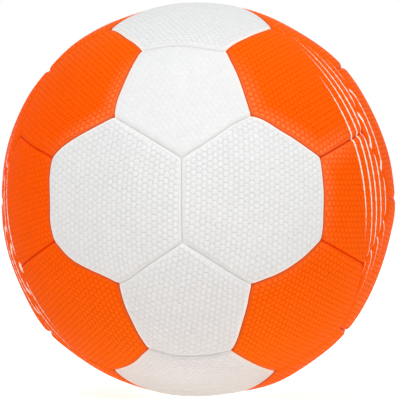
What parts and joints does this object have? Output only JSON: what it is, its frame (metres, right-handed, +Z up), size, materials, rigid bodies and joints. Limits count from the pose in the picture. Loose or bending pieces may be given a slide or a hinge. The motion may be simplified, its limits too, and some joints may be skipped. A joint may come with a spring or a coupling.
{
  "type": "handball",
  "caption": "Stitched handball of pentagon and hexagon panels with pebbled grain, foam backing, woven lining, latex bladder and needle valve.",
  "frame": {"origin": "the ball's centre", "axes": "+Z up, -Y the front, where the seam between two white hexagons runs up and down, +X to the right of one who looks at the front"},
  "size_m": [0.1864, 0.1864, 0.1864],
  "materials": {
    "white_skin": "pebbled synthetic leather, satin",
    "orange_skin": "pebbled synthetic leather, satin",
    "foam": "closed-cell foam",
    "lining": "woven lining",
    "seam_thread": "waxed thread",
    "latex": "matt latex",
    "valve_rubber": "moulded rubber",
    "valve_core": "moulded rubber"
  },
  "bodies": {
    "root": {"white_hexagon_front_left": "white_skin", "white_hexagon_front_right": "white_skin", "white_hexagon_back_left": "white_skin", "white_hexagon_back_right": "white_skin", "white_hexagon_top_front": "white_skin", "white_hexagon_top_back": "white_skin", "white_hexagon_bottom_front": "white_skin", "white_hexagon_bottom_back": "white_skin", "white_pentagon_front_top": "white_skin", "white_pentagon_front_bottom": "white_skin", "white_pentagon_back_top": "white_skin", "white_pentagon_back_bottom": "white_skin", "orange_hexagon_left_top": "orange_skin", "orange_hexagon_left_bottom": "orange_skin", "orange_hexagon_right_top": "orange_skin", "orange_hexagon_right_bottom": "orange_skin", "orange_hexagon_front_top_left": "orange_skin", "orange_hexagon_front_top_right": "orange_skin", "orange_hexagon_front_bottom_left": "orange_skin", "orange_hexagon_front_bottom_right": "orange_skin", "orange_hexagon_back_top_left": "orange_skin", "orange_hexagon_back_top_right": "orange_skin", "orange_hexagon_back_bottom_left": "orange_skin", "orange_hexagon_back_bottom_right": "orange_skin", "orange_pentagon_left_front": "orange_skin", "orange_pentagon_left_back": "orange_skin", "orange_pentagon_right_front": "orange_skin", "orange_pentagon_right_back": "orange_skin", "orange_pentagon_top_left": "orange_skin", "orange_pentagon_top_right": "orange_skin", "orange_pentagon_bottom_left": "orange_skin", "orange_pentagon_bottom_right": "orange_skin", "hexagon_foam_pads": "foam", "pentagon_foam_pads": "foam", "hexagon_linings": "lining", "pentagon_linings": "lining", "hexagon_seam_threads": "seam_thread", "pentagon_seam_threads": "seam_thread", "bladder": "latex", "valve_body": "valve_rubber", "valve_core": "valve_core"}
  },
  "joints": []
}
